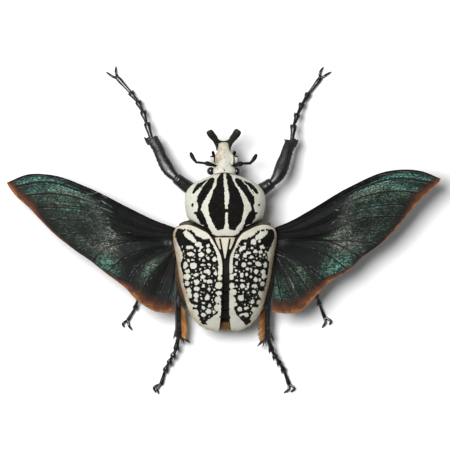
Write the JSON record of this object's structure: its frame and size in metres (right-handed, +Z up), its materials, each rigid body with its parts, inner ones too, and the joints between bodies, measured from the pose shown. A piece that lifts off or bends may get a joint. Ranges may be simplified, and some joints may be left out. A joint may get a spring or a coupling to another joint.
{
  "type": "goliath beetle model",
  "caption": "Life-size still goliath beetle with spread hind wings, patterned wing covers and black spined legs.",
  "frame": {"origin": "on the floor, under the middle of the bounding box, which is under the middle of the body", "axes": "+Z up; head towards -Y; the animal's left towards +X, along the wingspan"},
  "size_m": [0.1952, 0.1486, 0.0327],
  "materials": {
    "velvet_shield": "cream with velvety brown-black stripes",
    "elytron": "velvety black with irregular white blobs and a cream border",
    "head_shell": "cream, ochre stained, black at the sides",
    "black_shell": "glossy punctate black chitin",
    "body_shell": "dark green-black chitin with ochre hair",
    "wing_membrane": "opaque iridescent green-black membrane with an orange-brown rim",
    "eye": "glossy dark brown"
  },
  "bodies": {
    "root": {"head": "head_shell", "horn": "black_shell", "eye_left": "eye", "eye_right": "eye", "antenna_left": "black_shell", "antenna_right": "black_shell", "pronotum": "velvet_shield", "prosternum": "body_shell", "scutellum": "velvet_shield", "elytron_left": "elytron", "elytron_right": "elytron", "thorax": "body_shell", "abdomen": "body_shell", "wing_left": "wing_membrane", "wing_right": "wing_membrane", "femur_fore_left": "black_shell", "tibia_fore_left": "black_shell", "tarsus_fore_left": "black_shell", "femur_fore_right": "black_shell", "tibia_fore_right": "black_shell", "tarsus_fore_right": "black_shell", "femur_mid_left": "black_shell", "tibia_mid_left": "black_shell", "tarsus_mid_left": "black_shell", "femur_mid_right": "black_shell", "tibia_mid_right": "black_shell", "tarsus_mid_right": "black_shell", "femur_hind_left": "black_shell", "tibia_hind_left": "black_shell", "tarsus_hind_left": "black_shell", "femur_hind_right": "black_shell", "tibia_hind_right": "black_shell", "tarsus_hind_right": "black_shell"}
  },
  "joints": []
}
